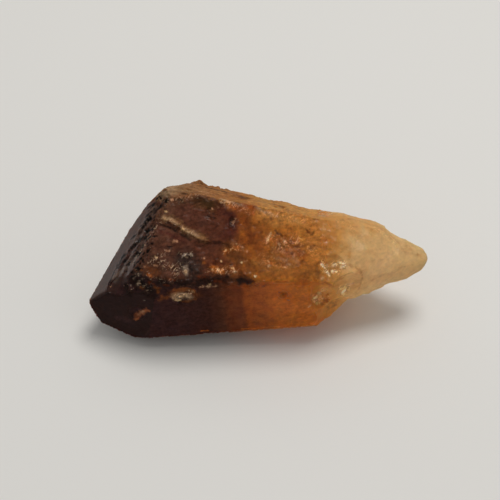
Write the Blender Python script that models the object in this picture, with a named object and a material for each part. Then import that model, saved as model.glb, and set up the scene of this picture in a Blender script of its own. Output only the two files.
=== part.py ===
"""Citrine crystal point: one quartz crystal, dark at its glassy tip, pale at its worn root.

The crystal lies on its side along X, tip towards -X and root towards +X, on a flat patch of
its underside. Its flat faces are planes cut from a block and its root is a lumpy tapering
stub drawn out of the block's end. Growth ledges and chips are then cut into it, and the
crust on its crest is joined on.

Tables below are in millimetres and degrees. A direction is given by its turn in plan from
+X and its slope above the horizon.
"""

import math

import bmesh
import bpy
from mathutils import Matrix, Vector, noise

MM = 0.001
NAME = "citrine_point"

# Driving dimensions
BLOCK_SIDE = 90 * MM             # block that the flat faces are cut from
HEART = Vector((0, 0, 13)) * MM  # point inside the crystal that its faces are measured from
ROOT_START = 12 * MM             # where the flat faces end and the worn root begins
RING_STEP = 1.2 * MM             # spacing of the rings that the root is drawn out through
RING_CUTS = 4                    # extra points on each edge of the root's first ring
LUMP_WIDTH = 5.5 * MM            # lumps on the root
LUMP_HEIGHT = 0.7 * MM
GRIT_WIDTH = 1.9 * MM            # finer bumps on the lumps
GRIT_HEIGHT = 0.2 * MM
LUMP_FADE = 5 * MM               # length over which the lumps grow in behind the flat faces
OVERCUT = 4 * MM                 # how far a cutter stands out past what it cuts
CHIP_CELL = 0.75 * MM            # spacing of the points on a chip's floor
CHIP_CELLS_LEAST = 5
CHIP_MARGIN = 1.35               # a chip's cutter is this much wider than the chip
CHIP_BUMP_WIDTH = 1.6 * MM       # bumps on a chip's floor
CRUST_BUMP_WIDTH = 0.5 * MM      # bumps on the crust
CRUST_LUMPINESS = 0.35
ROOT_SMOOTHING = 0.5
NOISE_REACH = 0.5                # the noise runs to about this far either side of nought
NOISE_STEP = 1.7                 # sets each ledge, chip and lump on its own stretch of noise
TOUCHING = 1e-7                  # corners this close to a plane lie on it

# Flat faces: name, turn, slope, distance from HEART
FACES = (
    ("front", -88, 0, 12.6),
    ("upper front", -84, 60, 11.3),
    ("upper back", 70, 57, 11.7),
    ("back", 78, 0, 10.0),
    ("lower back", 80, -60, 14.0),
    ("lower front", -81, -60, 13.7),
    ("rest", 0, -90, 13.0),
    ("long tip", -172, 41, 24.0),
    ("front tip", -109, 3, 19.4),
    ("small tip", -129, -11, 29.1),
    ("back tip", 150, 13, 24.1),
    ("under tip", 160, -25, 28.6),
    ("belly tip", -174, -75, 17.6),
    ("rim bevel", 148, 21, 23.6),
    ("shoulder bevel", 136, 28, 21.8),
    ("crest bevel", 120, 35, 19.8),
    ("crest edge bevel", 102, 39, 17.3),
)

# Root: distance along X, its middle in Y and Z, its radius, and its roundness, from 0 for the
# outline of the flat faces to 1 for a circle
ROOT = (
    (12.0, -1.8, 13.0, 11.9, 0.0),
    (14.8, -1.5, 13.2, 11.1, 0.3),
    (18.0, -0.6, 13.5, 9.9, 0.6),
    (20.9, -0.4, 13.6, 8.4, 0.8),
    (24.2, -0.4, 13.5, 7.1, 0.9),
    (26.4, -0.3, 13.5, 6.2, 1.0),
    (29.1, -0.9, 13.4, 4.4, 1.0),
    (31.6, -1.1, 13.4, 3.2, 1.0),
    (33.6, -0.8, 13.4, 2.6, 1.0),
    (34.6, -0.7, 13.4, 1.6, 1.0),
    (35.0, -0.7, 13.4, 0.6, 1.0),
)

# Terraces: the face, the route of the ragged ledge, the terrace's depth, its reach to the right
# of the route as seen from outside, its teeth, and how far they stick out
TERRACES = (
    ("long tip", ((-30.2, -9.8, 13.5), (-18.6, 3.2, 28.9)), 0.35, 14, 15, 0.7),
    ("long tip", ((-28.6, -10.6, 15.2), (-18.2, 1.6, 29.1)), 0.75, 14, 13, 0.8),
    ("long tip", ((-26.6, -11.0, 17.6), (-18.6, -2.6, 28.0)), 1.1, 14, 9, 0.6),
    ("upper front", ((-19.6, -1.8, 26.3), (-11.9, -5.7, 23.5), (-6.0, -6.0, 23.0), (-2.0, -13.4, 18.5)),
     0.45, 14, 16, 0.5),
    ("back", ((14.0, 8.0, -1.0), (-26.0, 14.0, 15.0)), 0.45, 18, 21, 0.7),
)

# Chips, hollows and breaks: what they are, where they are, the direction they face, how wide
# and how deep they are, and how rough their floor is
CHIPS = (
    ("broken tip corner", (-24.4, -12.0, 18.2), -118, 30, 10.0, 1.9, 0.45),
    ("broken tip corner", (-20.6, -13.1, 17.6), -100, 20, 7.0, 1.1, 0.35),
    ("broken tip corner", (-22.0, -10.7, 20.2), -95, 52, 6.5, 0.8, 0.3),
    ("broken tip corner", (-27.4, -10.3, 15.4), -135, 25, 5.0, 0.8, 0.3),
    ("nick in upper front edge", (-15.2, -12.8, 19.2), -86, 30, 3.6, 0.7, 0.2),
    ("nick in upper front edge", (-11.0, -12.5, 18.9), -86, 35, 3.4, 0.6, 0.2),
    ("nick in upper front edge", (-7.6, -12.5, 18.8), -86, 25, 3.0, 0.6, 0.2),
    ("nick in upper front edge", (-2.6, -12.6, 18.7), -86, 35, 4.2, 0.8, 0.25),
    ("nick in upper front edge", (8.6, -12.3, 18.1), -86, 30, 3.0, 0.4, 0.1),
    ("rough pit in front", (-14.8, -13.1, 15.5), -88, 0, 5.2, 0.6, 0.3),
    ("small pit in front", (5.0, -12.4, 14.8), -88, 0, 1.4, 0.4, 0.0),
    ("chip in front tip", (-24.2, -12.4, 9.5), -109, 3, 3.0, 0.35, 0.15),
    ("hollow in upper front", (-13.4, -10.5, 20.2), -84, 60, 6.0, 0.45, 0.3),
    ("hollow in upper front", (-5.2, -9.3, 21.0), -84, 60, 5.0, 0.5, 0.3),
    ("hollow in upper front", (-2.0, -10.4, 20.4), -84, 60, 4.0, 0.5, 0.3),
    ("shell break in upper front", (-9.6, -1.1, 26.0), -84, 60, 2.8, 0.25, 0.15),
    ("shell break in upper front", (-5.2, -2.2, 25.1), -84, 60, 2.4, 0.25, 0.15),
    ("shell break in upper front", (3.6, -3.9, 23.7), -84, 60, 2.2, 0.25, 0.1),
    ("hollow in upper front", (6.0, -7.0, 21.7), -84, 60, 7.0, 0.4, 0.25),
    ("glassy break at root", (15.0, -9.6, 19.4), -72, 45, 8.0, 1.2, 0.3),
    ("glassy break at root", (13.2, -12.2, 13.4), -70, 5, 8.0, 1.4, 0.35),
    ("glassy break at root", (17.4, -11.2, 14.6), -52, 8, 9.0, 2.0, 0.4),
    ("glassy break at root", (15.4, -11.0, 8.4), -50, -15, 9.0, 1.8, 0.35),
    ("glassy break at root", (18.6, -8.6, 7.0), -42, -38, 10.0, 1.6, 0.35),
    ("saddle behind knob", (29.6, 2.6, 16.4), 60, 40, 6.0, 0.5, 0.1),
    ("pit in upper back", (-14.7, 5.6, 26.8), 70, 57, 3.4, 0.35, 0.15),
    ("pit in upper back", (-3.6, 6.4, 23.8), 70, 57, 4.0, 0.4, 0.2),
    ("pit in upper back", (4.5, 3.4, 24.0), 70, 57, 3.4, 0.35, 0.15),
    ("chip in back edge", (2.0, 10.1, 19.6), 75, 30, 5.5, 0.9, 0.25),
    ("chip in back edge", (9.6, 7.8, 18.8), 75, 30, 4.6, 0.7, 0.2),
    ("shell break in back", (-6.0, 11.6, 10.0), 78, 0, 8.0, 0.7, 0.2),
    ("shell break in back", (10.6, 8.0, 5.8), 70, -30, 7.0, 0.8, 0.3),
    ("chip in back tip edge", (-21.6, 13.4, 6.0), 115, -5, 5.0, 0.8, 0.3),
    ("chip under tip", (-27.0, -2.0, 3.6), -176, -55, 6.0, 0.7, 0.2),
)

# Crust on the crest: where each lump is and its radius
CRUST = (
    ((-13.3, 12.6, 21.6), 0.9),
    ((-12.2, 12.9, 21.3), 1.1),
    ((-11.2, 12.3, 21.4), 0.9),
    ((-9.7, 12.1, 21.0), 0.8),
    ((-8.2, 11.9, 20.9), 0.8),
    ((-6.6, 11.6, 20.7), 0.8),
    ((-5.2, 11.3, 20.5), 0.6),
    ((-1.0, 10.6, 20.0), 0.6),
)

COLOUR = (0.30, 0.10, 0.025, 1.0)
ROUGHNESS = 0.18
INDEX_OF_REFRACTION = 1.544


def heading(turn, slope):
    """Unit vector from a turn in plan and a slope above the horizon, in degrees."""
    turn, slope = math.radians(turn), math.radians(slope)
    level = math.cos(slope)
    return Vector((level * math.cos(turn), level * math.sin(turn), math.sin(slope)))


def face_plane(wanted):
    """A point on a named flat face, and its outward direction."""
    for name, turn, slope, reach in FACES:
        if name == wanted:
            outward = heading(turn, slope)
            return HEART + outward * reach * MM, outward
    raise KeyError(wanted)


def onto(point, origin, outward):
    """The place on a plane that is nearest to a point."""
    return point - outward * (point - origin).dot(outward)


def new_object(name, form, collection):
    """Make an object from a bmesh and free the bmesh."""
    mesh = bpy.data.meshes.new(name)
    form.to_mesh(mesh)
    form.free()
    thing = bpy.data.objects.new(name, mesh)
    collection.objects.link(thing)
    return thing


# Block, flat faces and root

def cut_flat(form, point, outward):
    """Cut away what lies past a plane and close the cut with one flat face."""
    everything = form.verts[:] + form.edges[:] + form.faces[:]
    bmesh.ops.bisect_plane(
        form, geom=everything, dist=TOUCHING, plane_co=point, plane_no=outward, clear_outer=True)
    rim = [edge for edge in form.edges if edge.is_boundary]
    if rim:
        bmesh.ops.contextual_create(form, geom=rim)


def cut_faces(form):
    """Cut the block down to the crystal's flat faces, and square where the root begins."""
    for name, turn, slope, reach in FACES:
        cut_flat(form, *face_plane(name))
    cut_flat(form, Vector((ROOT_START, 0, 0)), Vector((1, 0, 0)))


def along_root(distance):
    """Middle, radius and roundness of the root at a distance along X."""
    for near, far in zip(ROOT, ROOT[1:]):
        if distance <= far[0] * MM + TOUCHING:
            break
    share = (distance / MM - near[0]) / (far[0] - near[0])
    y, z, radius, roundness = (a + (b - a) * share for a, b in zip(near[1:], far[1:]))
    return Vector((distance, y * MM, z * MM)), radius * MM, roundness


def draw_out_root(form):
    """Draw the root out of the block's end face, ring by ring."""
    end = max(form.faces, key=lambda face: face.normal.x)
    bmesh.ops.subdivide_edges(form, edges=end.edges[:], cuts=RING_CUTS)
    end = max(form.faces, key=lambda face: face.normal.x)
    middle = along_root(ROOT_START)[0]
    arms = [corner.co - middle for corner in end.verts]
    mean = sum(arm.length for arm in arms) / len(arms)
    length = ROOT[-1][0] * MM - ROOT_START
    count = round(length / RING_STEP)
    for index in range(1, count + 1):
        distance = ROOT_START + length * math.sin(math.pi / 2 * index / count)
        centre, radius, roundness = along_root(distance)
        end = bmesh.ops.extrude_discrete_faces(form, faces=[end])["faces"][0]
        for corner, arm in zip(end.verts, arms):
            own = arm.length / mean
            corner.co = centre + arm.normalized() * radius * (own + (1 - own) * roundness)


def roughen_root(form):
    """Round off the root's rings and raise its lumps."""
    root = [corner for corner in form.verts if corner.co.x > ROOT_START + RING_STEP / 2]
    bmesh.ops.smooth_vert(
        form, verts=root, factor=ROOT_SMOOTHING, use_axis_x=True, use_axis_y=True, use_axis_z=True)
    form.normal_update()
    for corner in root:
        grown = min(1, (corner.co.x - ROOT_START) / LUMP_FADE)
        lump = noise.noise(corner.co / LUMP_WIDTH) * LUMP_HEIGHT
        grit = noise.noise(corner.co / GRIT_WIDTH) * GRIT_HEIGHT
        corner.co += corner.normal * (lump + grit) * grown


def make_stone(parts):
    form = bmesh.new()
    bmesh.ops.create_cube(form, size=BLOCK_SIDE)
    cut_faces(form)
    draw_out_root(form)
    roughen_root(form)
    return new_object(NAME, form, parts)


# Ledges, chips and crust

def along_route(route, share):
    """The place that is a given share of the way along a route of straight runs."""
    runs = [(near, far, (far - near).length) for near, far in zip(route, route[1:])]
    left = share * sum(run[2] for run in runs)
    for near, far, length in runs:
        if left <= length:
            break
        left -= length
    return near.lerp(far, min(1, left / length))


def terrace_cutter(index, row, cutters):
    """A slab that sinks one side of a flat face below a ragged ledge."""
    name, route, depth, reach, teeth, ragged = row
    origin, outward = face_plane(name)
    route = [onto(Vector(place) * MM, origin, outward) for place in route]
    sunk_side = (route[-1] - route[0]).cross(outward).normalized()
    form = bmesh.new()
    bmesh.ops.create_grid(form, x_segments=teeth, y_segments=1, size=0.5)
    for corner in form.verts:
        share, back = corner.co.x + 0.5, corner.co.y > 0
        swing = noise.noise(Vector((share * teeth * NOISE_STEP, index * NOISE_STEP, 0)))
        tooth = swing / NOISE_REACH * ragged * MM
        place = along_route(route, share) + sunk_side * (reach * MM if back else tooth)
        corner.co = place - outward * depth * MM
    floor = form.faces[:]
    raised = bmesh.ops.extrude_face_region(form, geom=floor, use_keep_orig=True)["geom"]
    lifted = [item for item in raised if isinstance(item, bmesh.types.BMVert)]
    bmesh.ops.translate(form, verts=lifted, vec=outward * OVERCUT)
    bmesh.ops.recalc_face_normals(form, faces=form.faces[:])
    return new_object(f"terrace_{index}", form, cutters)


def chip_cutter(index, row, cutters):
    """A block with a rough bowl for its underside, which takes a chip out of the surface."""
    kind, place, turn, slope, width, depth, rough = row
    outward = heading(turn, slope)
    facing = outward.to_track_quat("Z", "Y").to_matrix().to_4x4()
    lift = Matrix.Translation(Vector(place) * MM) @ facing
    cells = max(CHIP_CELLS_LEAST, round(width * MM / CHIP_CELL))
    side = width * MM * CHIP_MARGIN
    form = bmesh.new()
    bmesh.ops.create_grid(form, x_segments=cells, y_segments=cells, size=side / 2)
    for corner in form.verts:
        bowl = depth * MM * ((corner.co.length / (width * MM / 2)) ** 2 - 1)
        bump = noise.noise(corner.co / CHIP_BUMP_WIDTH + Vector((0, 0, index * NOISE_STEP))) * rough * MM
        corner.co.z = bowl + bump
    floor = form.faces[:]
    raised = bmesh.ops.extrude_face_region(form, geom=floor, use_keep_orig=True)["geom"]
    top = [item for item in raised if isinstance(item, bmesh.types.BMVert)]
    for corner in top:
        corner.co.z = OVERCUT + depth * MM
    bmesh.ops.transform(form, matrix=lift, verts=form.verts[:])
    bmesh.ops.recalc_face_normals(form, faces=form.faces[:])
    return new_object(f"chip_{index}", form, cutters)


def crust_lump(index, row, cutters):
    """A lumpy ball of crust that stands on the crest."""
    place, radius = row
    form = bmesh.new()
    bmesh.ops.create_icosphere(form, subdivisions=2, radius=radius * MM)
    for corner in form.verts:
        lump = noise.noise(corner.co / CRUST_BUMP_WIDTH + Vector((index * NOISE_STEP, 0, 0)))
        corner.co = Vector(place) * MM + corner.co * (1 + lump * CRUST_LUMPINESS)
    return new_object(f"crust_{index}", form, cutters)


def shape(stone, cutter, operation):
    """Cut one cutter out of the stone, or join a lump on."""
    cutter.hide_render = True
    cutter.display_type = "WIRE"
    cutter.parent = stone.parent
    change = stone.modifiers.new(cutter.name, "BOOLEAN")
    change.operation = operation
    change.solver = "EXACT"
    change.object = cutter


def centre_on_origin(stone):
    """Bring the bottom middle of the crystal's box to the origin."""
    depsgraph = bpy.context.evaluated_depsgraph_get()
    corners = [Vector(corner) for corner in stone.evaluated_get(depsgraph).bound_box]
    lowest, highest = corners[0], corners[6]
    stone.parent.location = -Vector(((lowest.x + highest.x) / 2, (lowest.y + highest.y) / 2, lowest.z))


def stone_material():
    """Amber-brown quartz."""
    material = bpy.data.materials.new("citrine")
    material.use_nodes = True
    surface = material.node_tree.nodes["Principled BSDF"]
    surface.inputs["Base Color"].default_value = COLOUR
    surface.inputs["Roughness"].default_value = ROUGHNESS
    surface.inputs["Metallic"].default_value = 0.0
    surface.inputs["IOR"].default_value = INDEX_OF_REFRACTION
    return material


def main():
    for thing in list(bpy.data.objects):
        bpy.data.objects.remove(thing)
    parts = bpy.data.collections.new("citrine crystal point")
    cutters = bpy.data.collections.new("cutters and crust")
    for collection in (parts, cutters):
        bpy.context.scene.collection.children.link(collection)

    stand = bpy.data.objects.new("stand", None)
    parts.objects.link(stand)
    stone = make_stone(parts)
    stone.parent = stand
    for index, row in enumerate(TERRACES):
        shape(stone, terrace_cutter(index, row, cutters), "DIFFERENCE")
    for index, row in enumerate(CHIPS):
        shape(stone, chip_cutter(index, row, cutters), "DIFFERENCE")
    for index, row in enumerate(CRUST):
        shape(stone, crust_lump(index, row, cutters), "UNION")
    stone.data.materials.append(stone_material())
    centre_on_origin(stone)


main()
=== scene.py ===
"""Citrine crystal point: one quartz crystal lying on its side on a pale floor.

Places and lengths in the tables are in millimetres. Those on the crystal are in the frame that it was
cut in, before it was moved to stand on the origin. Directions are a turn in plan from +X and a slope
above the horizon, in degrees. Paints and zones are screen colours, 0 to 255.
"""

import math

import bmesh
import bpy
import numpy as np
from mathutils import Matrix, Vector, kdtree, noise


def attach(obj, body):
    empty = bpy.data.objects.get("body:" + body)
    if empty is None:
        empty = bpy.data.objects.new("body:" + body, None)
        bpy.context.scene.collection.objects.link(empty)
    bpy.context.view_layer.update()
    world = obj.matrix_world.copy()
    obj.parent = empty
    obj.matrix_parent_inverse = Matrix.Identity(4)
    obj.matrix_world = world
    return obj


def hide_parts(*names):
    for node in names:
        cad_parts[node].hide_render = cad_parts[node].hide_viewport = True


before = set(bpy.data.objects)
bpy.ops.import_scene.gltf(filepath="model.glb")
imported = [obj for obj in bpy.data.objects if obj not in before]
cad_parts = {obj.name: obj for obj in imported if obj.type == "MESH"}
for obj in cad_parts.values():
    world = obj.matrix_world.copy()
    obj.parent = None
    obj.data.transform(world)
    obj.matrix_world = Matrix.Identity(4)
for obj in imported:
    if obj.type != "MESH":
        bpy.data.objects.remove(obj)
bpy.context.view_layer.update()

MM = 0.001
CENTRING = Vector((-0.0803, -0.5681, 0))  # how far the crystal was moved to stand on the origin
HEART = Vector((0, 0, 13))  # point inside the crystal that its faces are measured from
FAR = 99.0  # farther than anything on the crystal

# Camera
LOOK_AT = Vector((-1.6, 0, 15))
CAMERA_TURN = -90
CAMERA_SLOPE = 45
CAMERA_DISTANCE = 300
LENS, SENSOR = 105.5, 36

# Floor and light
FLOOR_REACH = 3000  # from its middle to each side
LAMP_COLOUR = (1.0, 0.98, 0.95)
LAMPS = (  # name, place, what it shines at, width, power in watts
    ("overhead", (115, 105, 605), (0, 0, 10), 320, 1.9),
    ("side", (-520, 380, 60), (0, 0, 15), 420, 0.34),
)

CREASE_ANGLE = 34  # edges of the fine mesh that are sharper than this stay hard
SMOOTHING_ROUNDS = 4  # how often its broken edges are smoothed

# Flat faces: turn, slope, distance from HEART, and the depth of each ledge sunk into it
FACES = {
    "front": (-88, 0, 12.6),
    "upper front": (-84, 60, 11.3, 0.45),
    "upper back": (70, 57, 11.7),
    "back": (78, 0, 10.0, 0.45),
    "lower back": (80, -60, 14.0),
    "lower front": (-81, -60, 13.7),
    "rest": (0, -90, 13.0),
    "long tip": (-172, 41, 24.0, 0.35, 0.75, 1.1),
    "front tip": (-109, 3, 19.4),
    "small tip": (-129, -11, 29.1),
    "back tip": (150, 13, 24.1),
    "under tip": (160, -25, 28.6),
    "belly tip": (-174, -75, 17.6),
    "rim bevel": (148, 21, 23.6),
    "shoulder bevel": (136, 28, 21.8),
    "crest bevel": (120, 35, 19.8),
    "crest edge bevel": (102, 39, 17.3),
}
ETCHED = ("upper front", "upper back")
PLAIN = ("front", "back", "lower front", "lower back")
GLOSSY = ("long tip", "back tip", "under tip", "rim bevel", "shoulder bevel", "crest bevel",
          "crest edge bevel")
DARK = ("front tip", "small tip", "belly tip")
ON_FACE = 0.05  # a point this close to a flat face, or to one of its ledges, lies on it
FACE_TURN = 0.97  # if its normal agrees with the face's too, to this cosine
STEPPED_DEPTH = 1.4  # every ledge of the long tip lies within this depth

# Kinds of surface: where each starts and is in full, and how far noise moves that
ROOT_RISE, ROOT_WANDER = (11.5, 15.5), 5
HIND_RISE, HIND_WANDER = (0.5, 2.6), (1.5, 1.6)
GLOSS_RISE, GLOSS_WANDER = (1.4, 4.4), 1.6
FRAY_RISE = (0.1, 0.8)
BREAKS_END, FRAYS_END = 20.0, 12.0  # along X
BREAKS_ON_ROOT = 0.7  # how much of the breaks the root hides
DULLEST_GLOSS = 0.15  # of the long tip, beside the upper front

# Noise in the shape: width of the lumps, seed, and how many layers it has
LUMPS = {
    "ragged edge": (0.7, 1.0, 2),
    "start of the root": (4.0, 9.0, 1),
    "hind edge": (2.5, 8.0, 1),
    "slanting pits": (0.5, 3.0, 2),
    "small chips": (0.8, 4.0, 1),
    "wide chips": (3.0, 6.0, 1),
    "crumbs": (0.55, 7.0, 2),
}

# Wear. Hollows: the faces they are in, the width of the lumps, their depth and how many layers
HOLLOW_SEED = 2.0
HOLLOWS = (
    (("upper front",), 0.9, 0.09, 3),
    (("upper front",), 4.0, 0.12, 1),
    (("upper back",), 1.5, 0.05, 2),
    (PLAIN, 3.0, 0.03, 1),
    (GLOSSY + DARK, 3.0, 0.02, 1),
)
# Small flat facets: where they are, their depth, width and seed
FACETS = (
    ("upper front", 0.10, 1.8, 5.1),
    ("root", 0.12, 2.8, 3.7),
    ("root", 0.06, 0.9, 1.7),
    ("broken", 0.2, 1.05, 8.1),
)
DEEPEST_FACET = 1.4  # as a share of the facets' depth
TILT_SEED = 1  # for how the facets are tilted
RIM_WIDTH = 0.35  # the strip along a face's rim that chips reach
CHIP_DEPTH, ETCHED_CHIP_DEPTH, CHIP_START = 0.14, 0.05, 0.15
SMALL_CHIPS, WIDE_CHIPS = 1.6, 1.2  # how much each noise counts
CRUMB_DEPTH = 0.22
CRUMB_SQUEEZE = np.array((1.0, 0.55, 0.8))  # crumbs are longer across the crystal

# Short slanting pits on the long tip: the way they run, and the band that they keep to
PIT_WAY, PIT_SQUEEZE = np.array((0.640, 0.152, 0.753)), 0.28
PIT_BAND_START, PIT_BAND_END, PIT_FADE = (0.2, 1.2), (2.8, 4.6), 0.3
PIT_RISE, PIT_STRENGTH, PIT_DEPTH = (0.06, 0.14), 0.9, 0.12
ROUGH_PIT = 0.06  # a mark sunk this deep is as rough as a frayed edge

# Edges of the marks
RAGGED, RAGGED_BY_REACH, MOST_RAGGED = 0.12, 0.35, 0.45
FULL_REACH, SOFT_REACH, EDGE_BLUR = 0.9, 0.4, 0.08

PAINTS = {
    "soot": (12, 8, 7), "bark": (28, 17, 14), "olive": (52, 40, 22), "dun": (62, 38, 24),
    "maroon": (72, 33, 27), "slate": (58, 45, 41), "plum": (66, 42, 42), "rust": (96, 42, 16),
    "mauve": (76, 44, 35), "bronze": (108, 60, 28), "sienna": (126, 64, 18), "umber": (95, 65, 50),
    # The grey paint (88, 74, 68) on this line is a painted grey reflection beside the long tip
    "walnut": (116, 70, 34), "grey sheen": (88, 74, 68), "ember": (150, 72, 20), "tawny": (135, 78, 48),
    "russet": (156, 84, 34), "toffee": (160, 88, 26), "ochre": (144, 94, 40), "orange": (165, 95, 35),
    # The amber paint (190, 105, 40) on this line is painted amber light: highlights along edges and warm
    # light around glints
    "straw": (132, 98, 66), "cedar": (160, 100, 50), "lit amber": (190, 105, 40), "tan": (150, 118, 80),
    "apricot": (188, 126, 58), "brass": (178, 130, 65), "honey": (190, 126, 58), "fog": (155, 135, 120),
    # The pale yellowish paint (215, 175, 130) on this line is real pale colour in some marks and a painted
    # glint in others
    "blush": (180, 132, 102), "fawn": (172, 140, 112), "cream and glint": (215, 175, 130),
    # The two brightest paints on this line, (255, 212, 128) and (255, 228, 190), are painted highlights:
    # glints and bright reflections
    "milk": (215, 180, 130), "yellow highlight": (255, 212, 128), "white highlight": (255, 228, 190),
}
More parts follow.
